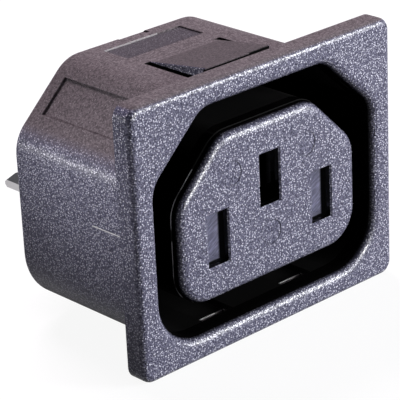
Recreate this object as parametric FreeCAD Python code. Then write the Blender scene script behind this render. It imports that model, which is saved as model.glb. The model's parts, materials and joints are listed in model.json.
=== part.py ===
"""Snap-in panel outlet for a three-pin appliance plug, in millimetres.

The front looks along -Y and the body goes into the panel along +Y, with X to the right and Z up.
The origin is the centre of the flange's back face, where the flange lies on the panel.
"""
import FreeCAD
import Part
import math
import os

Vector = FreeCAD.Vector

# Plug face: the nose that the plug's collar slides over, and its pin slots
nose_width = 24.0
nose_height = 16.5
nose_corner_cut = 5.8
nose_cut_radius = 3.5
nose_bottom_radius = 3.8
nose_edge_radius = 1.0
nose_face_depth = 1.1
nose_parting_step = 0.05
pin_spacing = 14.0
earth_pin_rise = 4.0
slot_width = 2.6
slot_height = 5.4
slot_edge_bevel = 0.15
slot_web = 0.7
ejector_radius = 1.25
ejector_depth = 0.06
ejector_low_drop = 3.6
ejector_high_rise = 4.0
ejector_high_spacing = 10.0

# Well round the nose, and the body's walls
well_gap_side = 2.4
well_gap_top = 2.95
well_depth = 16.0
well_mouth_radius = 1.1
wall = 1.1
floor_thickness = 1.1
shoulder_width = 7.0
shoulder_height = 6.5
shoulder_radius = 4.0
body_bottom_radius = 6.0
body_rear_radius = 0.4

# Flange on the front of the panel
flange_lip_side = 1.7
flange_lip_top = 1.5
flange_thickness = 2.3
flange_corner_radius = 1.4
flange_edge_radius = 0.7

# Snap latches, a wide one in the top wall and two narrow ones in the bottom wall
panel_gap = 1.4
top_latch_width = 8.6
top_latch_side_gap = 0.75
top_latch_tip_thickness = 1.3
bottom_latch_width = 3.7
bottom_latch_spacing = 10.9
bottom_latch_side_gap = 0.2
bottom_latch_tip_thickness = 1.55
latch_length = 7.9
latch_rise = 1.1
latch_root_thickness = 0.9
latch_edge_radius = 0.12
latch_root_clearance = 0.03
latch_root_relief = 0.25
top_latch_step = 2.9
latch_step_depth = 0.25

# Shallow marks of the moulding on the top and on the left shoulder
top_pocket_width = 10.0
top_pocket_length = 3.5
top_pocket_from_rear = 1.9
top_pocket_depth = 0.18
top_pocket_edge_radius = 0.1
rear_notch_width = 3.6
rear_notch_length = 1.0
rear_notch_depth = 0.2
label_length = 13.4
label_height = 4.3
label_from_rear = 1.7
label_up_slope = 0.6
label_depth = 0.2

# Rear cover
rear_rim = 1.3
cover_thickness = 2.0
cover_inset = 0.2
cover_clearance = 0.05
cover_edge_bevel = 0.3
aperture_clearance = 0.15

# Contacts: spring leaves, shoulder and quick-connect tab, stamped from one strip
chamber_width = 4.4
chamber_height = 5.8
leaf_thickness = 0.5
leaf_height = 4.6
leaf_root_gap = 2.4
leaf_grip_gap = 1.4
leaf_mouth_gap = 2.5
leaf_flare_length = 2.6
leaf_taper_length = 6.0
leaf_bend_radius = 1.2
leaf_clearance = 0.1
earth_setback = 2.4
strip_thickness = 0.8
base_length = 1.3
contact_shoulder_width = 7.6
contact_shoulder_length = 1.0
shoulder_clearance = 0.1
tab_drop = 1.0
tab_width = 6.3
tab_reach = 9.8
tab_tip_width = 3.0
tab_tip_length = 0.7
tab_tip_bevel = 0.25
tab_hole_radius = 0.9
tab_hole_from_tip = 4.1

# Sizes that follow from the ones above
well_width = nose_width + 2 * well_gap_side
well_height = nose_height + 2 * well_gap_top
body_width = well_width + 2 * wall
body_height = well_height + 2 * wall
body_top = body_height / 2
flange_width = body_width + 2 * flange_lip_side
flange_height = body_height + 2 * flange_lip_top
front_y = -flange_thickness
floor_y = front_y + well_depth
ledge_y = floor_y + floor_thickness
body_depth = ledge_y + cover_thickness + cover_inset
latch_root_y = panel_gap + latch_length
contact_places = {
    "left_contact": (-pin_spacing / 2, -earth_pin_rise / 2, -1, 0.0),
    "right_contact": (pin_spacing / 2, -earth_pin_rise / 2, -1, 0.0),
    "earth_contact": (0.0, earth_pin_rise / 2, 1, earth_setback),
}
top_latch_size = (top_latch_width, top_latch_side_gap, top_latch_tip_thickness, top_latch_step)
bottom_latch_size = (bottom_latch_width, bottom_latch_side_gap, bottom_latch_tip_thickness, 0.0)
latch_places = {
    "top_latch": (1, 0.0, *top_latch_size),
    "bottom_left_latch": (-1, -bottom_latch_spacing / 2, *bottom_latch_size),
    "bottom_right_latch": (-1, bottom_latch_spacing / 2, *bottom_latch_size),
}
ejector_places = [
    (0.0, -ejector_low_drop),
    (-ejector_high_spacing / 2, ejector_high_rise),
    (ejector_high_spacing / 2, ejector_high_rise),
]
tolerance = 1e-4
cut_margin = 1.0


def rounded_wire(corners, to_point):
    """Closed wire through (u, v, radius) corners, each rounded by an arc tangent to both sides."""
    arcs = []
    for index, (u, v, radius) in enumerate(corners):
        corner = Vector(u, v, 0)
        after_u, after_v, _ = corners[(index + 1) % len(corners)]
        before_u, before_v, _ = corners[index - 1]
        to_before = (Vector(before_u, before_v, 0) - corner).normalize()
        to_after = (Vector(after_u, after_v, 0) - corner).normalize()
        half_angle = to_before.getAngle(to_after) / 2
        reach = radius / math.tan(half_angle)
        bisector = (to_before + to_after).normalize()
        middle = corner + bisector * (radius / math.sin(half_angle) - radius)
        arcs.append((corner + to_before * reach, middle, corner + to_after * reach, radius))
    edges = []
    for index, (start, middle, stop, radius) in enumerate(arcs):
        if radius > 0:
            arc_points = [to_point(point.x, point.y) for point in (start, middle, stop)]
            edges.append(Part.Arc(*arc_points).toShape())
        next_start = arcs[(index + 1) % len(arcs)][0]
        if stop.distanceToPoint(next_start) > tolerance:
            line_ends = [to_point(point.x, point.y) for point in (stop, next_start)]
            edges.append(Part.LineSegment(*line_ends).toShape())
    return Part.Wire(edges)


def facing_front(y):
    """Plane of constant Y, drawn in X and Z."""
    return lambda x, z: Vector(x, y, z)


def facing_side(x):
    """Plane of constant X, drawn in Y and Z."""
    return lambda y, z: Vector(x, y, z)


def facing_top(z):
    """Plane of constant Z, drawn in X and Y."""
    return lambda x, y: Vector(x, y, z)


def prism(wire, along):
    return Part.Face(wire).extrude(along)


def centred_box(width, height, x, z, start_y, stop_y):
    """Box centred on (x, z), from start_y to stop_y."""
    corner = Vector(x - width / 2, start_y, z - height / 2)
    return Part.makeBox(width, stop_y - start_y, height, corner)


def edges_at_y(shape, y, half_width, half_height):
    """Edges that lie in the plane y, inside a centred rectangle of the given half sizes."""
    found = []
    for edge in shape.Edges:
        box = edge.BoundBox
        flat = abs(box.YMin - y) < tolerance and abs(box.YMax - y) < tolerance
        inside_x = max(abs(box.XMin), abs(box.XMax)) < half_width + tolerance
        inside_z = max(abs(box.ZMin), abs(box.ZMax)) < half_height + tolerance
        if flat and inside_x and inside_z:
            found.append(edge)
    return found


def shouldered_outline(y, inset=0.0):
    """Body section: sloping shoulders above and round corners below, moved in by an inset."""
    half_width = body_width / 2
    half_height = body_height / 2
    wire = rounded_wire(
        [
            (-half_width, -half_height, body_bottom_radius),
            (half_width, -half_height, body_bottom_radius),
            (half_width, half_height - shoulder_height, shoulder_radius),
            (half_width - shoulder_width, half_height, shoulder_radius),
            (shoulder_width - half_width, half_height, shoulder_radius),
            (-half_width, half_height - shoulder_height, shoulder_radius),
        ],
        facing_front(y),
    )
    if inset == 0:
        return wire
    return wire.makeOffset2D(-inset)


def nose_outline(y, inset=0.0):
    """Plug face outline: two corners cut at 45 degrees above, two round corners below."""
    half_width = nose_width / 2
    half_height = nose_height / 2
    wire = rounded_wire(
        [
            (-half_width, -half_height, nose_bottom_radius),
            (half_width, -half_height, nose_bottom_radius),
            (half_width, half_height - nose_corner_cut, nose_cut_radius),
            (half_width - nose_corner_cut, half_height, nose_cut_radius),
            (nose_corner_cut - half_width, half_height, nose_cut_radius),
            (-half_width, half_height - nose_corner_cut, nose_cut_radius),
        ],
        facing_front(y),
    )
    if inset == 0:
        return wire
    return wire.makeOffset2D(-inset)


def flange_and_body():
    """Outer moulding with the well cut into its front."""
    half_width = flange_width / 2
    half_height = flange_height / 2
    flange_wire = rounded_wire(
        [
            (-half_width, -half_height, flange_corner_radius),
            (half_width, -half_height, flange_corner_radius),
            (half_width, half_height, flange_corner_radius),
            (-half_width, half_height, flange_corner_radius),
        ],
        facing_front(front_y),
    )
    flange = prism(flange_wire, Vector(0, flange_thickness, 0))
    rim = edges_at_y(flange, front_y, half_width, half_height)
    flange = flange.makeFillet(flange_edge_radius, rim)

    body_start = -flange_thickness / 2
    body = prism(shouldered_outline(body_start), Vector(0, body_depth - body_start, 0))
    rear_edges = edges_at_y(body, body_depth, body_width / 2, body_height / 2)
    body = body.makeFillet(body_rear_radius, rear_edges)

    well_start = front_y - cut_margin
    well = prism(shouldered_outline(well_start, wall), Vector(0, floor_y - well_start, 0))
    shell = flange.fuse(body).cut(well).removeSplitter()
    mouth = edges_at_y(shell, front_y, well_width / 2, well_height / 2)
    return shell.makeFillet(well_mouth_radius, mouth)


def nose():
    """Block that stands in the well: a rounded face, a hair smaller than the shank behind it."""
    face = prism(nose_outline(front_y, nose_parting_step), Vector(0, nose_face_depth, 0))
    face = face.makeFillet(
        nose_edge_radius, edges_at_y(face, front_y, nose_width / 2, nose_height / 2)
    )
    shank_y = front_y + nose_face_depth
    block = face.fuse(prism(nose_outline(shank_y), Vector(0, ledge_y - shank_y, 0)))
    for x, z, _, _ in contact_places.values():
        slot_stop = front_y + slot_web + cut_margin
        block = block.cut(
            centred_box(slot_width, slot_height, x, z, front_y - cut_margin, slot_stop)
        )
    face_half_width = pin_spacing / 2 + slot_width / 2
    slot_half_height = earth_pin_rise / 2 + slot_height / 2
    slot_edges = [
        edge
        for edge in edges_at_y(block, front_y, face_half_width, slot_half_height)
        if edge.Length < slot_height + tolerance
    ]
    block = block.makeChamfer(slot_edge_bevel, slot_edges)
    for x, z in ejector_places:
        mark_length = ejector_depth + cut_margin
        mark_start = Vector(x, front_y - cut_margin, z)
        block = block.cut(
            Part.makeCylinder(ejector_radius, mark_length, mark_start, Vector(0, 1, 0))
        )
    return block


def latch_window(side, x, width, side_gap):
    """Opening that frees a latch in the top (side 1) or bottom (side -1) wall."""
    half_width = width / 2 + side_gap
    outside = side * (body_top + cut_margin)
    inside = side * (body_top - wall - tolerance)
    leaning_end = latch_root_y + latch_root_relief
    section = rounded_wire(
        [
            (0, inside, 0),
            (leaning_end, inside, 0),
            (latch_root_y, side * body_top, 0),
            (latch_root_y, outside, 0),
            (0, outside, 0),
        ],
        facing_side(x - half_width),
    )
    return prism(section, Vector(2 * half_width, 0, 0))


def contact_room(x, z, side):
    """Chamber behind a slot, open at the back, with a pocket for the contact's shoulder."""
    chamber = centred_box(
        chamber_width, chamber_height, x, z, front_y + slot_web, ledge_y + cut_margin
    )
    seat = centred_box(
        contact_shoulder_width + 2 * shoulder_clearance,
        strip_thickness + 2 * shoulder_clearance,
        x,
        z + side * tab_drop,
        ledge_y - contact_shoulder_length,
        ledge_y + cut_margin,
    )
    return chamber.fuse(seat)


def label_recess():
    """Shallow bare recess in the left shoulder, square to its slope."""
    slope_start = Vector(-body_width / 2, 0, body_top - shoulder_height)
    slope_stop = Vector(shoulder_width - body_width / 2, 0, body_top)
    up_slope = (slope_stop - slope_start).normalize()
    into_wall = Vector(up_slope.z, 0, -up_slope.x)
    middle = (slope_start + slope_stop) * 0.5 + up_slope * label_up_slope
    rear_y = body_depth - label_from_rear
    base = middle - up_slope * (label_height / 2) - into_wall * cut_margin
    corners = [base, base + up_slope * label_height]
    depth = into_wall * (cut_margin + label_depth)
    near = [Vector(point.x, rear_y - label_length, point.z) for point in corners]
    far = [Vector(point.x, rear_y, point.z) for point in reversed(corners)]
    points = near + far
    return prism(Part.makePolygon(points + points[:1]), depth)


def housing():
    shape = flange_and_body().fuse(nose())
    recess = prism(
        shouldered_outline(ledge_y, rear_rim), Vector(0, body_depth + cut_margin - ledge_y, 0)
    )
    cuts = [recess, label_recess()]
    for side, x, width, side_gap, _, _ in latch_places.values():
        cuts.append(latch_window(side, x, width, side_gap))
    for x, z, side, _ in contact_places.values():
        cuts.append(contact_room(x, z, side))
    pocket_stop = body_depth - top_pocket_from_rear
    pocket = Part.makeBox(
        top_pocket_width,
        top_pocket_length,
        top_pocket_depth + cut_margin,
        Vector(-top_pocket_width / 2, pocket_stop - top_pocket_length, body_top - top_pocket_depth),
    )
    notch = Part.makeBox(
        rear_notch_width,
        rear_notch_length + cut_margin,
        rear_notch_depth + cut_margin,
        Vector(-rear_notch_width / 2, body_depth - rear_notch_length, body_top - rear_notch_depth),
    )
    cuts += [pocket, notch]
    for cut in cuts:
        shape = shape.cut(cut)
    shape = shape.removeSplitter()
    pocket_rim = [
        edge
        for edge in shape.Edges
        if abs(edge.BoundBox.ZMin - body_top) < tolerance
        and abs(edge.CenterOfMass.x) < top_pocket_width / 2 + tolerance
        and abs(edge.CenterOfMass.y - pocket_stop + top_pocket_length / 2)
        < top_pocket_length / 2 + tolerance
    ]
    return shape.makeFillet(top_pocket_edge_radius, pocket_rim)


def latch(side, x, width, _, tip_thickness, step_width):
    """Snap tongue: bends at its rear edge and rises towards the flange, with a step in its tip."""
    root_y = latch_root_y - latch_root_clearance
    tip_y = panel_gap
    step_y = tip_y + latch_step_depth
    root_z = side * body_top
    tip_z = side * (body_top + latch_rise)
    section = rounded_wire(
        [
            (root_y, root_z, 0),
            (tip_y, tip_z, 0),
            (tip_y, tip_z - side * tip_thickness, 0),
            (root_y, root_z - side * latch_root_thickness, 0),
        ],
        facing_side(x - width / 2),
    )
    tongue = prism(section, Vector(width, 0, 0))
    if step_width > 0:
        step_height = 2 * (latch_rise + tip_thickness)
        step_x = x + width / 2 - step_width / 2
        step = centred_box(step_width, step_height, step_x, tip_z, tip_y - cut_margin, step_y)
        tongue = tongue.cut(step)
    outer_face = max(tongue.Faces, key=lambda face: side * face.normalAt(0, 0).z)
    free_edges = [edge for edge in outer_face.Edges if edge.BoundBox.YMin < root_y - tolerance]
    return tongue.makeFillet(latch_edge_radius, free_edges)


def leaf(x, z, direction, tip_y):
    """One spring leaf seen from above: root, taper to the grip, then a flared mouth."""
    root_y = ledge_y - contact_shoulder_length
    grip_y = tip_y + leaf_flare_length
    taper_y = grip_y + leaf_taper_length
    line = [
        (leaf_root_gap / 2, root_y),
        (leaf_root_gap / 2, taper_y),
        (leaf_grip_gap / 2, grip_y),
        (leaf_mouth_gap / 2, tip_y),
    ]
    radii = [0, leaf_bend_radius, leaf_bend_radius, 0]
    inner = [(x + direction * gap, y, r) for (gap, y), r in zip(line, radii)]
    outer = [(x + direction * (gap + leaf_thickness), y, r) for (gap, y), r in zip(line, radii)]
    wire = rounded_wire(inner + outer[::-1], facing_top(z - leaf_height / 2))
    return prism(wire, Vector(0, 0, leaf_height))


def contact(x, z, side, setback):
    """Stamped contact: two leaves, the strip that joins them, its shoulder and its tab."""
    tip_y = front_y + slot_web + leaf_clearance + setback
    strip_z = z + side * tab_drop
    shoulder_y = ledge_y - contact_shoulder_length
    tab_tip_y = body_depth + tab_reach
    bottom_z = strip_z - strip_thickness / 2
    base_width = leaf_root_gap + 2 * leaf_thickness
    base = centred_box(
        base_width, strip_thickness, x, strip_z, shoulder_y - base_length, shoulder_y
    )
    half_shoulder = contact_shoulder_width / 2
    half_tab = tab_width / 2
    half_tip = tab_tip_width / 2
    strip_wire = rounded_wire(
        [
            (x - half_shoulder, shoulder_y, 0),
            (x + half_shoulder, shoulder_y, 0),
            (x + half_shoulder, ledge_y, 0),
            (x + half_tab, ledge_y, 0),
            (x + half_tab, tab_tip_y - tab_tip_length, 0),
            (x + half_tip, tab_tip_y, 0),
            (x - half_tip, tab_tip_y, 0),
            (x - half_tab, tab_tip_y - tab_tip_length, 0),
            (x - half_tab, ledge_y, 0),
            (x - half_shoulder, ledge_y, 0),
        ],
        facing_top(bottom_z),
    )
    strip = prism(strip_wire, Vector(0, 0, strip_thickness))
    tip_edges = [
        edge
        for edge in strip.Edges
        if edge.BoundBox.YMin > tab_tip_y - tab_tip_length - tolerance
        and edge.BoundBox.ZLength < tolerance
    ]
    strip = strip.makeChamfer(tab_tip_bevel, tip_edges)
    hole = Part.makeCylinder(
        tab_hole_radius,
        strip_thickness + 2 * cut_margin,
        Vector(x, tab_tip_y - tab_hole_from_tip, bottom_z - cut_margin),
    )
    shape = strip.cut(hole).fuse(base)
    for direction in (-1, 1):
        shape = shape.fuse(leaf(x, z, direction, tip_y))
    return shape.removeSplitter()


def rear_cover():
    plate = prism(
        shouldered_outline(ledge_y, rear_rim + cover_clearance), Vector(0, cover_thickness, 0)
    )
    rear_y = ledge_y + cover_thickness
    plate = plate.makeChamfer(
        cover_edge_bevel, edges_at_y(plate, rear_y, body_width / 2, body_height / 2)
    )
    for x, z, side, _ in contact_places.values():
        plate = plate.cut(
            centred_box(
                tab_width + 2 * aperture_clearance,
                strip_thickness + 2 * aperture_clearance,
                x,
                z + side * tab_drop,
                ledge_y - cut_margin,
                rear_y + cut_margin,
            )
        )
    return plate


nodes = {
    "housing": housing(),
    "rear_cover": rear_cover(),
}
for name, place in latch_places.items():
    nodes[name] = latch(*place)
for name, place in contact_places.items():
    nodes[name] = contact(*place)

os.makedirs("parts", exist_ok=True)
for name, shape in nodes.items():
    solid = shape.Solids[0]
    box = solid.BoundBox
    print(
        f"{name}: solids {len(shape.Solids)} valid {shape.isValid()} volume {solid.Volume:.1f} "
        f"x {box.XMin:.2f} {box.XMax:.2f} y {box.YMin:.2f} {box.YMax:.2f} "
        f"z {box.ZMin:.2f} {box.ZMax:.2f}"
    )
    solid.exportStep(f"parts/{name}.step")
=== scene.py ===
# %% [markdown]
# # A snap-in panel outlet, dressed for its portrait
#
# The solid pieces of this outlet were drawn in a CAD program at their real size. This lesson takes
# them into Blender as a fixed frame and gives them what a CAD model lacks: a camera, some light, the
# finish of every surface and a little trim. Lengths are in metres, +Z is up, and the outlet looks
# along -Y.

# %% Load the solid pieces
import bmesh
import bpy
import json
import math
from mathutils import Matrix, Quaternion, Vector


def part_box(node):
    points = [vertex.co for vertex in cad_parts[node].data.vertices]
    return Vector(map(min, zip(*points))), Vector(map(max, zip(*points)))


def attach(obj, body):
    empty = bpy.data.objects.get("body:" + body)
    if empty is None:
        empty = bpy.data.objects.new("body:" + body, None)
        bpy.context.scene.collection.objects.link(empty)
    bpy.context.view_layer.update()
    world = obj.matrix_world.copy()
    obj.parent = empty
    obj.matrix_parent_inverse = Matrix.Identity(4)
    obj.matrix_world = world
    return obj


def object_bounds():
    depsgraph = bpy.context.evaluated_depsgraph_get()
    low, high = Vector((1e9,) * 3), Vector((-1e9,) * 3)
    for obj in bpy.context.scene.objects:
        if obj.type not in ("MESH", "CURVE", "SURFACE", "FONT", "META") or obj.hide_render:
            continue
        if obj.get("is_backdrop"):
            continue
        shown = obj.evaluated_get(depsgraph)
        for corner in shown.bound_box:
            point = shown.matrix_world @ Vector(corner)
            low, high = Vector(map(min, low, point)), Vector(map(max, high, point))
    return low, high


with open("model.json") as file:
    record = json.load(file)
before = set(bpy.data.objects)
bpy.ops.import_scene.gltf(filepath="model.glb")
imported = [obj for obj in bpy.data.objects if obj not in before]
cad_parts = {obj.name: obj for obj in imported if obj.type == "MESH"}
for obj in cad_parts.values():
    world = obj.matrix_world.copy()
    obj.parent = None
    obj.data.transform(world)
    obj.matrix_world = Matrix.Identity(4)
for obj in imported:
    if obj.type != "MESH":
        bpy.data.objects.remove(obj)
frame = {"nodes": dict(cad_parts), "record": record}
cad_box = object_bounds()
MM = 0.001


def in_mm(rows):
    """Rows of lengths in millimetres, rounded for printing."""
    return [[round(value / MM, 2) for value in row] for row in rows]


print("pieces:", ", ".join(sorted(frame["nodes"])))
print("box in mm:", in_mm(cad_box))

# %% [markdown]
# ## The camera
#
# A small part is often photographed with a long lens from close by, which keeps its edges nearly
# parallel. The camera could be placed by eye, but here its place, its aim and its small roll come
# from lining up the corners of the flange and the slots. A camera looks along its own -Z axis, so
# to_track_quat turns that axis towards the aim, and a second turn about the same axis adds the roll.

# %% Place the camera
camera_place = Vector((-129.4, -134.22, 78.78)) * MM
camera_aim = Vector((-3.99, 3.40, -0.58)) * MM
camera_roll = math.radians(-2.73)

camera_data = bpy.data.cameras.new("portrait_camera")
camera_data.lens = 189.0
camera_data.sensor_width = 36.0
camera_data.clip_start = 10 * MM
camera_data.clip_end = 10.0
camera = bpy.data.objects.new("portrait_camera", camera_data)
bpy.context.scene.collection.objects.link(camera)
camera.location = camera_place
camera.rotation_mode = "QUATERNION"
look = (camera_aim - camera_place).to_track_quat("-Z", "Y")
camera.rotation_quaternion = look @ Quaternion((0, 0, 1), camera_roll)
bpy.context.scene.camera = camera
bpy.context.scene.view_settings.view_transform = "Standard"
print("camera stands", round((camera_aim - camera_place).length / MM), "mm from its aim")

# %% [markdown]
# ## Sockets that do arithmetic
#
# A procedural finish is a web of nodes, and wiring each one by hand makes long scripts. This small
# class wraps one output socket. Adding or multiplying two wrapped sockets makes the Math node that
# does it, so a mask can be written as an ordinary expression, and 1 - mask works as well. Every
# other kind of node comes from the one method called node.


# %% Wrap a socket
class Field:
    """One output of a shader tree: a value, a colour or a place that changes over the surface."""

    def __init__(self, socket):
        self.socket = socket

    def node(self, kind, settings, inputs, output=0):
        """Add a node, set it up, then give its inputs values or links. Returns one of its outputs."""
        made = self.socket.id_data.nodes.new(kind)
        for name, value in settings.items():
            setattr(made, name, value)
        sockets = {socket.identifier: socket for socket in made.inputs}
        for name, value in inputs.items():
            if isinstance(value, Field):
                self.socket.id_data.links.new(value.socket, sockets[name])
            else:
                sockets[name].default_value = value
        return Field(made.outputs[output])

    def maths(self, operation, first, second):
        """Add a Math node that works on two numbers or fields."""
        return self.node(
            "ShaderNodeMath", {"operation": operation}, {"Value": first, "Value_001": second}
        )

    def __add__(self, other):
        return self.maths("ADD", self, other)

    def __radd__(self, other):
        return self.maths("ADD", other, self)

    def __sub__(self, other):
        return self.maths("SUBTRACT", self, other)

    def __rsub__(self, other):
        return self.maths("SUBTRACT", other, self)

    def __mul__(self, other):
        return self.maths("MULTIPLY", self, other)

    def __rmul__(self, other):
        return self.maths("MULTIPLY", other, self)


print("ready: Field")

# %% [markdown]
# ## A few handy shapes of masks
#
# A mask is 1 where something holds and 0 elsewhere. Map Range makes a soft step, the Compare mode of
# the Math node asks whether a value is close to another, and three of those make a box.


# %% Steps and boxes
def smooth_step(field, start, stop):
    """0 where the field is at start, 1 where it is at stop, with an even ramp between them."""
    return field.node(
        "ShaderNodeMapRange",
        {"interpolation_type": "SMOOTHSTEP"},
        {"Value": field, "From Min": start, "From Max": stop},
    )


def between(field, low, high):
    """1 where the field lies between low and high, 0 elsewhere."""
    middle = (low + high) / 2
    reach = (high - low) / 2
    return field.node(
        "ShaderNodeMath",
        {"operation": "COMPARE"},
        {"Value": field, "Value_001": middle, "Value_002": reach},
    )


def box_mask(parts, low, high):
    """1 inside the box with these corners in millimetres. Parts are the three coordinates."""
    mask = 1.0
    for part, start, stop in zip(parts, low, high):
        mask = mask * between(part, start * MM, stop * MM)
    return mask


def any_of(first, *others):
    """1 where at least one of the masks is 1."""
    mask = first
    for other in others:
        mask = mask.maths("MAXIMUM", mask, other)
    return mask


print("ready: smooth_step, between, box_mask, any_of")


# %% Blends and new materials
def blend_colours(share, first, second):
    """First colour where the share is 0, second colour where it is 1."""
    return share.node(
        "ShaderNodeMix",
        {"data_type": "RGBA"},
        {"Factor_Float": share, "A_Color": first, "B_Color": second},
        output=2,
    )


def start_material(name):
    """An empty node tree with its output node. Returns the material, its tree and the output."""
    material = bpy.data.materials.new(name)
    material.use_nodes = True
    tree = material.node_tree
    tree.nodes.clear()
    output = tree.nodes.new("ShaderNodeOutputMaterial")
    return material, tree, output


print("ready: blend_colours, start_material")

# %% [markdown]
# ## Floor and background
#
# The picture has a plain white ground. Light Path says what kind of ray asks for the colour: the
# camera, mirrors and glass get white, while the soft light that the floor throws back stays low, as
# it would from a sheet of grey paper. The paper is a plain diffuse surface under that white glow, so
# the outlet still drops a faint shadow on it.


# %% Ask who is looking
def background_rays(tree):
    """Two masks: the camera's own rays, and those that come by way of a mirror or glass."""
    path = tree.nodes.new("ShaderNodeLightPath")
    wanted = ("Is Camera Ray", "Is Glossy Ray", "Is Transmission Ray")
    camera_ray, glossy_ray, glass_ray = [Field(path.outputs[name]) for name in wanted]
    return camera_ray, glossy_ray + glass_ray


print("ready: background_rays")

# %% Lay the floor
floor_z = cad_box[0].z
floor_size = 4.0
paper_grey = (0.08, 0.08, 0.085, 1.0)
mirror_share = 0.5
paper_glow = 0.92
white = (1.0, 1.0, 1.0, 1.0)

bpy.ops.object.select_all(action="DESELECT")
bpy.ops.mesh.primitive_plane_add(size=floor_size, location=(0, 0, floor_z))
floor = bpy.context.object
floor.name = "studio_floor"

floor_material, floor_tree, floor_output = start_material("white_paper")
direct, mirrored = background_rays(floor_tree)
viewed = direct + mirrored * mirror_share
paper = viewed.node("ShaderNodeBsdfDiffuse", {}, {"Color": paper_grey})
glow = viewed.node("ShaderNodeEmission", {}, {"Color": white, "Strength": viewed * paper_glow})
lit_paper = viewed.node("ShaderNodeAddShader", {}, {"Shader": paper, "Shader_001": glow})
floor_tree.links.new(lit_paper.socket, floor_output.inputs["Surface"])
floor.data.materials.append(floor_material)
floor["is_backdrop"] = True
print("floor lies at", round(floor_z / MM, 2), "mm")

# %% [markdown]
# ## The world round the set
#
# The camera sees white all round. In mirrors and smooth surfaces the white backdrop ends a little
# above the horizon and the room over it is dim, so that the top of the outlet doesn't mirror a white
# sky. In a world shader the Generated coordinate is the direction of the ray, and its Z part says
# how high the ray looks.

# %% Colour the world
room_grey = (0.09, 0.09, 0.10, 1.0)
backdrop_edges = (0.12, 0.02)

world = bpy.data.worlds.new("studio_world")
bpy.context.scene.world = world
world.use_nodes = True
world_tree = world.node_tree
world_tree.nodes.clear()
world_output = world_tree.nodes.new("ShaderNodeOutputWorld")
ray = Field(world_tree.nodes.new("ShaderNodeTexCoord").outputs["Generated"])
ray_height = ray.node("ShaderNodeSeparateXYZ", {}, {"Vector": ray}, output=2)
direct, mirrored = background_rays(world_tree)
backdrop = direct + mirrored * smooth_step(ray_height, *backdrop_edges)
world_colour = blend_colours(backdrop, room_grey, white)
sky = backdrop.node("ShaderNodeBackground", {}, {"Color": world_colour, "Strength": 1.0})
world_tree.links.new(sky.socket, world_output.inputs["Surface"])
print("room colour", room_grey[:3], "and a white backdrop below", backdrop_edges)

# %% [markdown]
# ## Light
#
# The key is a soft box, low in front on the right. It lights the face, and the roundings along the
# upper edges throw it back as bright lines, which is how a rounded edge shows on a dark part. A box
# straight in front does the same for the sloping edges on the left. It shows in reflections only, so
# the face grows no brighter. A spot with a narrow cone stands low behind on the left and brushes the
# bend under the sloping shoulder, so the side wall falls off into shade below it. A warm soft box
# above lights all that looks up, and is kept out of reflections. Lamps shine along -Z.


# %% Make lamps
def place_lamp(kind, name, direction, distance, watts, colour, aim=Vector((0, 0, 0))):
    """Lamp at a distance from its aim, on the given side of it and turned towards it."""
    lamp_data = bpy.data.lights.new(name, kind)
    lamp_data.energy = watts
    lamp_data.color = colour
    lamp = bpy.data.objects.new(name, lamp_data)
    bpy.context.scene.collection.objects.link(lamp)
    away = Vector(direction).normalized()
    lamp.location = aim + away * distance
    lamp.rotation_mode = "QUATERNION"
    lamp.rotation_quaternion = (-away).to_track_quat("-Z", "Y")
    lamp.visible_camera = False
    print(name, "at", [round(value / MM) for value in lamp.location], "mm,", watts, "W")
    return lamp


print("ready: place_lamp")

# %% Light the set
key_box = place_lamp(
    "AREA", "key_box", direction=(0.64, -0.725, 0.25), distance=0.36, watts=2.2, colour=(0.97, 0.98, 1.0)
)
key_box.data.size = 0.14

edge_box = place_lamp(
    "AREA", "edge_box", direction=(0.02, -0.955, 0.29), distance=0.40, watts=2.2, colour=(1.0, 1.0, 1.0)
)
edge_box.data.size = 0.09
edge_box.visible_diffuse = False

shoulder_bend = Vector((-15.5, 7.0, 6.5)) * MM
side_spot = place_lamp(
    "SPOT",
    "side_spot",
    direction=(-0.72, 0.69, 0.05),
    distance=0.30,
    watts=4.2,
    colour=(0.98, 0.97, 1.0),
    aim=shoulder_bend,
)
side_spot.data.spot_size = math.radians(5.2)
side_spot.data.spot_blend = 1.0
side_spot.data.shadow_soft_size = 0.008

sky_box = place_lamp(
    "AREA", "sky_box", direction=(0.20, 0.58, 0.79), distance=0.40, watts=2.5, colour=(1.0, 0.88, 0.93)
)
sky_box.data.size = 0.16
sky_box.visible_glossy = False

# %% [markdown]
# ## The black moulding
#
# The housing, its cover and its latches are black plastic. The mould was spark-eroded on the front
# and on the sides, which leaves a fine pebbled grain of about a fifth of a millimetre. The top and
# the shoulders are smoother, and the well was polished so that it lets go of the mould. Each finish
# could be a material of its own on its own faces, but they fade into each other, so all of it is one
# material. Masks made from Object coordinates say where each kind of surface lies. The part is nearly
# the same left and right, so most masks read across, the distance from its middle plane.

# %% Read the place on the surface
front_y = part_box("housing")[0].y
front_mm = front_y / MM
flange_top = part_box("housing")[1].z


def object_place(tree):
    """The point on the surface in the piece's own coordinates, and its three parts."""
    place = Field(tree.nodes.new("ShaderNodeTexCoord").outputs["Object"])
    split = place.node("ShaderNodeSeparateXYZ", {}, {"Vector": place})
    return place, *[Field(socket) for socket in split.socket.node.outputs]


def depth_step(y, start, stop):
    """Soft step by the depth behind the front face: 0 at the depth start, 1 at the depth stop."""
    return smooth_step(y, front_y + start, front_y + stop)


print("front face at", round(front_mm, 2), "mm, flange up to", round(flange_top / MM, 2), "mm")
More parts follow.
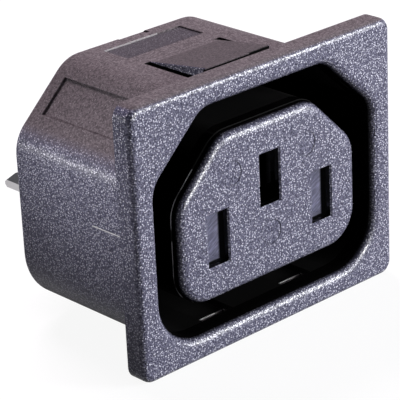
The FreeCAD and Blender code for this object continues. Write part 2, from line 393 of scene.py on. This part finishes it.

# %% [markdown]
# ### The dark of the well
#
# A plug's collar slides into the well, whose polished walls send little light back out. They could be
# left to the lamps alone, but the colour of the grain is mixed for the outside and would turn them
# grey, so a painted shade of deep black stands in for the dark there. The mask is the outline of the
# body, drawn through the middle of its wall: upright sides, round lower corners, a flat top and two
# sloping shoulders. The slots, the latch windows and the front of the upper latch get the same
# painted shade, and plain boxes find them. Here and below, a box is its two corners in millimetres,
# mostly as across, y and z.

# %% Find the well
well_end_y = 14.2 * MM
wall_middle = {"corner_x": 9.5 * MM, "corner_z": -6.3 * MM, "reach": 5.45 * MM, "top": 11.75 * MM}
shoulder_normal = Vector((6.5, 0, 7.0)).normalized()
shoulder_reach = 14.25 * MM
mouth_fade = (0.10 * MM, 0.70 * MM)


def well_mask(across, y, z):
    """1 inside the middle of the body's wall and behind the rounded mouth, 0 elsewhere."""
    beyond_x = y.maths("MAXIMUM", across - wall_middle["corner_x"], 0)
    below_z = y.maths("MAXIMUM", wall_middle["corner_z"] - z, 0)
    spread = y.maths("SQRT", beyond_x * beyond_x + below_z * below_z, 0)
    within_sides = y.maths("LESS_THAN", spread, wall_middle["reach"])
    within_top = y.maths("LESS_THAN", z, wall_middle["top"])
    slope = across * shoulder_normal.x + z * shoulder_normal.z
    within_shoulder = y.maths("LESS_THAN", slope, shoulder_reach)
    before_end = y.maths("LESS_THAN", y, well_end_y)
    behind_mouth = depth_step(y, *mouth_fade)
    return within_sides * within_top * within_shoulder * before_end * behind_mouth


print("well ends at", round(well_end_y / MM, 2), "mm, shoulder faces", shoulder_normal.to_tuple(3))

# %% Find the other dark places
nose_box = ((0, -3.0, -8.4), (12.2, 13.0, 8.4))
nose_fade = (0.25 * MM, 0.85 * MM)
painted_shade_boxes = {
    "slots": ((0, front_mm + 0.17, -5.2), (8.45, 13.0, 5.2)),
    "upper_window": ((0, -0.03, 10.9), (5.08, 9.6, 12.27)),
    "lower_windows": ((3.3, 1.45, -12.27), (7.6, 9.6, -10.9)),
    "upper_tip": ((0, 1.3, 12.2), (4.4, 1.75, 13.28)),
}


def shade_and_polish_mask(across, y, z):
    """1 on the polished dark with painted shade: the well, the nose's sides and the shaded boxes."""
    parts = (across, y, z)
    nose_sides = box_mask(parts, *nose_box) * depth_step(y, *nose_fade)
    holes = [box_mask(parts, *corners) for corners in painted_shade_boxes.values()]
    return any_of(well_mask(across, y, z), nose_sides, *holes)


print("dark boxes:", ", ".join(painted_shade_boxes))

# %% [markdown]
# ### The smooth skin
#
# The top, the shoulders, the underside and the thin upper rim of the flange came off smoother steel.
# The grain doesn't stop at a line there, so soft steps in height and depth let it run out. The latch
# and the sunk pocket behind it get painted shade, darker than the skin round them. A second mask says
# by how much.

# %% Find the smooth skin
flange_fade = (-0.1 * MM, 0.1 * MM)
upper_fade = (5.6 * MM, 7.3 * MM)
lower_fade = (-8.0 * MM, -12.0 * MM)
rim_fade = (flange_top - 0.35 * MM, flange_top - 0.12 * MM)
pocket_box = ((0, 11.5, 12.0), (5.1, 15.08, 12.2))
latch_top_box = ((0, 1.5, 12.4), (4.22, 9.3, 13.5))
latch_sides_box = ((4.22, 1.5, 12.27), (4.40, 9.3, 13.5))
pocket_shade = 0.60
latch_top_shade = 0.42
latch_sides_shade = 0.4
pocket_grain = 0.3


def skin_mask(across, y, z):
    """1 on the smooth top, shoulders and underside. Also says how much painted shade goes on it."""
    behind_flange = smooth_step(y, *flange_fade)
    upper = smooth_step(z, *upper_fade)
    lower = smooth_step(z, *lower_fade)
    flange_rim = smooth_step(z, *rim_fade)
    boxes = (pocket_box, latch_top_box, latch_sides_box)
    pocket, latch_top, latch_sides = [box_mask((across, y, z), *corners) for corners in boxes]
    skin = any_of(behind_flange * (upper + lower), flange_rim)
    # Painted shade: how much dark brown goes on the pocket, the latch's top and its sides.
    shade = pocket * pocket_shade + latch_top * latch_top_shade + latch_sides * latch_sides_shade
    return skin * (1 - latch_sides) * (1 - pocket * pocket_grain), shade


print("grain runs out between", [round(z / MM, 2) for z in upper_fade], "mm up the shoulders")

# %% [markdown]
# ### Bright hairlines
#
# Sharp little edges catch the light as hairlines: the parting step on the left of the nose, the tips
# of the lower latches, the ridge on the side and the rear rim of the pocket. The edges are there in
# the meshes, but many are finer than a pixel and would be lost, so a thin box on each paints a pale
# highlight there. A slow noise breaks the parting line up, because the two halves of a mould never
# close evenly.

# %% Find the bright hairlines
parting_line_box = ((9.0, front_mm + 1.07, -8.4), (12.2, front_mm + 1.12, 6.0))
tip_edges_box = ((3.3, 1.2, -11.93), (7.6, 1.5, -11.8))
ridge_box = ((15.505, 1.5, -0.4), (15.6, 6.0, 0.1))
pocket_rim_box = ((-5.0, 15.08, 12.13), (2.0, 15.2, 12.29))
pocket_rim_share = 0.3
patch_noise = {"Scale": 420.0, "Detail": 2.0}
patch_edges = (0.42, 0.54)
left_fade = (0, -1 * MM)


def painted_highlight_mask(place, x, across, y, z):
    """1 where a painted highlight goes: parting line, lower tips, side ridge, less on the pocket rim."""
    parting = box_mask((across, y, z), *parting_line_box)
    patches = place.node("ShaderNodeTexNoise", {}, {"Vector": place, **patch_noise})
    parting_left = parting * smooth_step(patches, *patch_edges) * smooth_step(x, *left_fade)
    tip_edges = box_mask((across, y, z), *tip_edges_box)
    ridge = box_mask((across, y, z), *ridge_box)
    pocket_rim = box_mask((x, y, z), *pocket_rim_box) * pocket_rim_share
    return any_of(parting_left, tip_edges, ridge, pocket_rim)


print("ready: painted_highlight_mask")

# %% [markdown]
# ### Ejector marks
#
# Pins push the finished moulding out of its mould and leave three shallow discs in the nose's face.
# The discs are part of the solid housing. Here their rims only get a painted shade line, a ring round
# each centre, because so shallow a corner hardly shows by its shade alone.

# %% Find the rims of the ejector marks
ejector_centres = ((0, -3.6), (-5.0, 4.0), (5.0, 4.0))
ejector_radius = 1.25
ejector_rim = 0.06
ejector_fade = (0.15 * MM, 0.10 * MM)


def ejector_mask(x, y, z):
    """1 on the thin round rims that the mould's ejector pins leave in the nose's face."""
    inner = (ejector_radius - ejector_rim) * MM
    outer = (ejector_radius + ejector_rim) * MM
    rims = []
    for centre_x, centre_z in ejector_centres:
        beside = x - centre_x * MM
        above = z - centre_z * MM
        away = x.maths("SQRT", beside * beside + above * above, 0)
        rims.append(between(away, inner, outer))
    return any_of(*rims) * depth_step(y, *ejector_fade)


print(len(ejector_centres), "ejector marks of", 2 * ejector_radius, "mm")

# %% [markdown]
# ### Grain and colours
#
# Spark erosion leaves round pebbles of uneven height. The distance from the middle of a Voronoi cell
# gives the round shape, and a noise of like size makes the heights uneven. The same cells colour the
# grain, and a painted glint of pale colour sits on the top of each pebble. The skin has soft clouds
# and a few pale specks of painted glint.

# %% Raise the grain
pebble_cells = {"Scale": 4500.0, "Randomness": 0.8}
pebble_noise = {"Scale": 6500.0, "Detail": 0.0}
cell_edges = (0.80, 0.20)
noise_edges = (0.30, 0.70)


def grain_fields(place):
    """Distance from the middle of the cells, and the pebbles' height from 0 to 1."""
    noise = place.node("ShaderNodeTexNoise", {}, {"Vector": place, **pebble_noise})
    cells = place.node("ShaderNodeTexVoronoi", {}, {"Vector": place, **pebble_cells})
    pebbles = smooth_step(cells, *cell_edges) * 0.5 + smooth_step(noise, *noise_edges) * 0.5
    return cells, pebbles


print("pebbles are about", round(1 / pebble_cells["Scale"] / MM, 2), "mm across")

# %% Colour the grain and the skin
grain_dark = (0.044, 0.043, 0.072, 1.0)
grain_light = (0.160, 0.157, 0.238, 1.0)
painted_glint_white = (0.70, 0.695, 0.80, 1.0)
painted_glint_edges = (0.40, 0.10)
rim_painted_shade = 0.6
# The skin's brown is partly its own tone and partly a painted warm reflection of the light above it.
skin_dark = (0.066, 0.056, 0.062, 1.0)
skin_light = (0.146, 0.126, 0.137, 1.0)
skin_clouds = {"Scale": 4600.0, "Detail": 2.0}
cloud_edges = (0.30, 0.70)
# Painted glint: the pale specks on the skin.
speck_glint_grey = (0.34, 0.31, 0.33, 1.0)
speck_edges = (0.20, 0.08)


def grain_colour(cells, pebbles, rims):
    """Pebbles from dark to light, a painted glint on top of each, and painted shade on the ejector rims.
    """
    pebbled = blend_colours(pebbles, grain_dark, grain_light)
    glinting = blend_colours(smooth_step(cells, *painted_glint_edges), pebbled, painted_glint_white)
    # painted shade line on the ejector rims
    return blend_colours(rims * rim_painted_shade, glinting, grain_dark)


def skin_colour(place, cells):
    """Soft clouds, brown partly as a painted warm reflection, with a few pale specks of painted glint.
    """
    clouds = place.node("ShaderNodeTexNoise", {}, {"Vector": place, **skin_clouds})
    clouded = blend_colours(smooth_step(clouds, *cloud_edges), skin_dark, skin_light)
    return blend_colours(smooth_step(cells, *speck_edges), clouded, speck_glint_grey)


print("ready: grain_colour, skin_colour")

# %% [markdown]
# ### The plastic put together
#
# The colours go on in layers, each over the last: grain with its painted glints, skin, painted shade,
# the painted dark inside and the painted highlights on the hairlines. The pebbles also drive a bump
# and the weight of a clear coat, so each pebble glitters by itself. The base alone reflects little,
# because a bare black plastic that mirrors the room turns grey. Coat and bump fade where the skin is
# smooth, and the coat is weaker behind the front.

# %% Mix the plastic
# Painted shade colour for the pocket and the latch.
painted_shade_brown = (0.030, 0.027, 0.030, 1.0)
# Painted shade: the near-black colour laid on the well, the slots, the windows and the upper tip.
painted_shade_black = (0.0015, 0.0014, 0.0015, 1.0)
# Painted highlight colour for the thin edges.
painted_highlight_grey = (0.75, 0.74, 0.75, 1.0)
parting_step_box = ((0, front_mm + 1.0, -8.5), (12.2, front_mm + 1.2, 8.5))
skin_smoothness = 0.85
pebble_depth = 0.06 * MM
side_polish = 0.18
front_polish = 0.82
polish_fade = (0.9 * MM, 0.4 * MM)
grain_roughness = 0.24
skin_roughness = 0.50
well_polish = 0.12
parting_roughness = 0.6


def moulded_plastic():
    """Black plastic: grained in front and on the sides, smooth above, polished inside with painted
    shade.
    """
    material, tree, output = start_material("moulded_plastic")
    place, x, y, z = object_place(tree)
    across = x.maths("ABSOLUTE", x, 0)
    inside = shade_and_polish_mask(across, y, z)
    skin, shade = skin_mask(across, y, z)
    hairlines = painted_highlight_mask(place, x, across, y, z)
    cells, pebbles = grain_fields(place)

    grained = grain_colour(cells, pebbles, ejector_mask(x, y, z))
    skinned = blend_colours(skin, grained, skin_colour(place, cells))
    # painted shade on the pocket and the latch
    shaded = blend_colours(shade, skinned, painted_shade_brown)
    # painted shade over the well and the shaded boxes
    darkened = blend_colours(inside, shaded, painted_shade_black)
    # painted highlights on the thin edges
    colour = blend_colours(hairlines, darkened, painted_highlight_grey)

    relief = pebbles * ((1 - skin * skin_smoothness) * (1 - inside))
    polish = side_polish + depth_step(y, *polish_fade) * front_polish
    step = box_mask((across, y, z), *parting_step_box)
    roughness = grain_roughness + skin * skin_roughness - inside * well_polish + step * parting_roughness
    bump = place.node(
        "ShaderNodeBump", {}, {"Height": relief, "Distance": pebble_depth, "Strength": 1.0}
    )
    surface = place.node(
        "ShaderNodeBsdfPrincipled",
        {},
        {
            "Base Color": colour,
            "Roughness": roughness,
            "Specular IOR Level": 0.10,
            "Coat Weight": relief * polish,
            "Coat Roughness": 0.34,
            "Coat IOR": 1.62,
            "Normal": bump,
        },
    )
    tree.links.new(surface.socket, output.inputs["Surface"])
    print(material.name, "has", len(tree.nodes), "nodes")
    return material


# %% [markdown]
# ## Tin on the contacts
#
# The contacts are stamped from brass strip and plated with tin. The tabs keep a bright, slightly
# cloudy plating. On the leaves the tin is duller, with slanting rub marks, and its darker colour there
# is partly painted shade from the slots. A scratch picture could be laid on, but a noise does it
# without one: the place is turned by the slant of the marks and squeezed more astride them than along
# them. The leaves' front lies in the shade of the slots, so it gets a painted shade of near black.

# %% Plate the contacts
tin_dark = (0.74, 0.735, 0.745, 1.0)
tin_light = (0.90, 0.895, 0.905, 1.0)
tin_clouds = {"Scale": 900.0, "Detail": 3.0}
# The rub colours are darker than the tin partly as painted shade from the slots.
rub_dark = (0.38, 0.38, 0.46, 1.0)
rub_light = (0.64, 0.64, 0.75, 1.0)
rub_noise = {"Scale": 1.0, "Detail": 2.0}
rub_edges = (0.35, 0.68)
slant_cosine = 0.81
slant_sine = 0.59
squeeze_astride = 7000.0
squeeze_along = 700.0
# Painted shade: the near black on the front of the leaves.
painted_mouth_shade = (0.004, 0.004, 0.004, 1.0)
leaf_front_fade = (-0.85 * MM, -1.1 * MM)
leaf_end_fade = (13.5 * MM, 12.5 * MM)
tin_roughness = 0.24
cloud_roughness = 0.16
leaf_roughness = 0.30


def rub_marks(place, y, z):
    """Slanting streaks from 0 to 1 on surfaces that stand upright along the part."""
    along = z * slant_cosine - y * slant_sine
    astride = y * slant_cosine + z * slant_sine
    squeezed = {"X": astride * squeeze_astride, "Y": along * squeeze_along}
    streak_place = place.node("ShaderNodeCombineXYZ", {}, squeezed)
    streaks = place.node("ShaderNodeTexNoise", {}, {"Vector": streak_place, **rub_noise})
    return smooth_step(streaks, *rub_edges)


def tinned_brass():
    """Bright tin on the tabs, rub marks on the duller leaves, and painted shade at the leaves' mouths.
    """
    material, tree, output = start_material("tinned_brass")
    place, _, y, z = object_place(tree)
    clouds = place.node("ShaderNodeTexNoise", {}, {"Vector": place, **tin_clouds})
    bright = blend_colours(clouds, tin_dark, tin_light)
    rubbed = blend_colours(rub_marks(place, y, z), rub_dark, rub_light)
    dull_and_shaded = blend_colours(smooth_step(y, *leaf_front_fade), rubbed, painted_mouth_shade)
    leaves = smooth_step(y, *leaf_end_fade)
    surface = place.node(
        "ShaderNodeBsdfPrincipled",
        {},
        {
            "Base Color": blend_colours(leaves, bright, dull_and_shaded),
            "Metallic": 1.0,
            "Roughness": tin_roughness + clouds * cloud_roughness + leaves * leaf_roughness,
        },
    )
    tree.links.new(surface.socket, output.inputs["Surface"])
    print(material.name, "has", len(tree.nodes), "nodes")
    return material


# %% [markdown]
# ## Dressing the pieces
#
# The frame's record says which finish each solid piece takes, so a loop can hand them out. The shapes
# of these pieces are right as they are, and only their material slots change.

# %% Dress the pieces
finishes = {"moulded_plastic": moulded_plastic(), "tinned_brass": tinned_brass()}
for subpart in frame["record"]["subparts"]:
    node = frame["nodes"][subpart["node"]]
    node.data.materials.clear()
    node.data.materials.append(finishes[subpart["material_slot"]])
    print(node.name, "is", subpart["material_slot"])

# %% [markdown]
# ## The line on the side
#
# Where two blocks of a mould meet, the plastic keeps a hair of a seam. One shows on the left wall. It
# is real material, so it is modelled as a ridge and not painted: a cube of its length starts it, its
# two ends are drawn out to blunt points, and its outer edges are bevelled round. It sinks a little
# into the wall, so that no light shows under it. Its place is applied, because a finished piece sits
# at the origin with its place in its mesh.


# %% Select in edit mode
def select_only(piece, kind, wanted):
    """In edit mode, select just those faces or edges of a piece for which wanted is true."""
    bpy.ops.mesh.select_mode(type=kind)
    bpy.ops.mesh.select_all(action="DESELECT")
    shape = bmesh.from_edit_mesh(piece.data)
    shape.normal_update()
    elements = shape.faces if kind == "FACE" else shape.edges
    for element in elements:
        if wanted(element):
            element.select_set(True)
    bmesh.update_edit_mesh(piece.data)


print("ready: select_only")

# %% Start the seam ridge
wall_x = -15.5 * MM
seam_ends = (1.7 * MM, 5.8 * MM)
seam_height = -0.15 * MM
seam_width = 0.13 * MM
seam_proud = 0.05 * MM
seam_sunk = 0.03 * MM

seam_middle = (wall_x + (seam_sunk - seam_proud) / 2, sum(seam_ends) / 2, seam_height)
seam_size = (seam_proud + seam_sunk, seam_ends[1] - seam_ends[0], seam_width)
bpy.ops.object.select_all(action="DESELECT")
bpy.ops.mesh.primitive_cube_add(size=1.0, location=seam_middle, scale=seam_size)
seam = bpy.context.object
seam.name = "side_seam_line"
bpy.ops.object.transform_apply(location=True, rotation=True, scale=True)
print(seam.name, "is", round(seam_size[1] / MM, 2), "mm long")

# %% Shape the seam ridge
facing = 0.9
crest_x = wall_x - seam_proud * 0.9
crest_bevel = seam_proud * 0.7
seam_smooth_angle = math.radians(50)


def on_crest(edge):
    """True for the two long outer edges of the ridge."""
    outer = all(vert.co.x < crest_x for vert in edge.verts)
    return outer and edge.calc_length() > seam_width * 2


bpy.ops.object.mode_set(mode="EDIT")
for direction in (-1, 1):
    select_only(seam, "FACE", lambda face: face.normal.y * direction > facing)
    bpy.ops.mesh.inset(thickness=seam_width / 4, depth=seam_width)
select_only(seam, "EDGE", on_crest)
bpy.ops.mesh.bevel(offset=crest_bevel, segments=3, affect="EDGES")
bpy.ops.object.mode_set(mode="OBJECT")
bpy.ops.object.shade_smooth_by_angle(angle=seam_smooth_angle)
seam.data.materials.append(finishes["moulded_plastic"])
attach(seam, "outlet")
print(seam.name, "has", len(seam.data.polygons), "faces")

# %% [markdown]
# ## The folded mouths of the contacts
#
# Each outer contact is a strip folded into a U, so metal shows below the pin as well as beside it. The
# solid leaves end a little above that fold, so the fold is modelled here. A cube becomes its floor and
# its rear end is drawn together, as the leaves close in there. The sides are extruded out by the
# thickness of a leaf and their tops pulled up until they meet the leaves. The second mouth is a copy
# with a mesh of its own.

# %% Start the floor of one mouth
pin_offset = 7.0 * MM
mouth_gap = 2.5 * MM
grip_gap = 1.4 * MM
flare_length = 2.6 * MM
fold_drop = 0.57 * MM
fold_thickness = 0.15 * MM
leaf_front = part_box("left_contact")[0].y
leaf_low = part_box("left_contact")[0].z
fold_low = leaf_low - fold_drop

fold_middle = Vector((-pin_offset, leaf_front + flare_length / 2, fold_low + fold_thickness / 2))
bpy.ops.object.select_all(action="DESELECT")
bpy.ops.mesh.primitive_cube_add(
    size=1.0, location=fold_middle, scale=(mouth_gap, flare_length, fold_thickness)
)
left_mouth = bpy.context.object
left_mouth.name = "left_contact_mouth"
bpy.ops.object.transform_apply(location=True, rotation=True, scale=True)
print("fold lies", round(fold_drop / MM, 2), "mm below the leaves")

# %% Fold up its sides
leaf_thickness = 0.5 * MM
half_facing = 0.5
wall_rise = leaf_low - fold_low - fold_thickness
mouth_smooth_angle = math.radians(30)


def on_side_top(face):
    """True for the upward faces that stand beside the floor of the mouth."""
    beside = abs(face.calc_center_median().x + pin_offset)
    return face.normal.z > facing and beside > grip_gap / 2


bpy.ops.object.mode_set(mode="EDIT")
select_only(left_mouth, "FACE", lambda face: face.normal.y > facing)
bpy.ops.transform.resize(value=(grip_gap / mouth_gap, 1, 1), center_override=fold_middle)
for side in (-1, 1):
    select_only(left_mouth, "FACE", lambda face: face.normal.x * side > half_facing)
    bpy.ops.mesh.extrude_region_move(TRANSFORM_OT_translate={"value": (side * leaf_thickness, 0, 0)})
select_only(left_mouth, "FACE", on_side_top)
bpy.ops.mesh.extrude_region_move(TRANSFORM_OT_translate={"value": (0, 0, wall_rise)})
bpy.ops.mesh.select_all(action="SELECT")
bpy.ops.mesh.normals_make_consistent(inside=False)
bpy.ops.object.mode_set(mode="OBJECT")
bpy.ops.object.shade_smooth_by_angle(angle=mouth_smooth_angle)
left_mouth.data.materials.append(finishes["tinned_brass"])
print(left_mouth.name, "has", len(left_mouth.data.polygons), "faces")

# %% Copy the mouth to the other contact
right_mouth = left_mouth.copy()
right_mouth.name = "right_contact_mouth"
right_mouth.data = left_mouth.data.copy()
right_mouth.data.transform(Matrix.Translation((2 * pin_offset, 0, 0)))
bpy.context.scene.collection.objects.link(right_mouth)
for mouth in (left_mouth, right_mouth):
    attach(mouth, "outlet")
    axes = zip(*[vert.co for vert in mouth.data.vertices])
    print(mouth.name, "spans x, y and z in mm:", in_mm([(min(axis), max(axis)) for axis in axes]))

# %% Measure the dressed box and finish
picture_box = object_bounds()
print("dressed box in mm:", in_mm(picture_box))
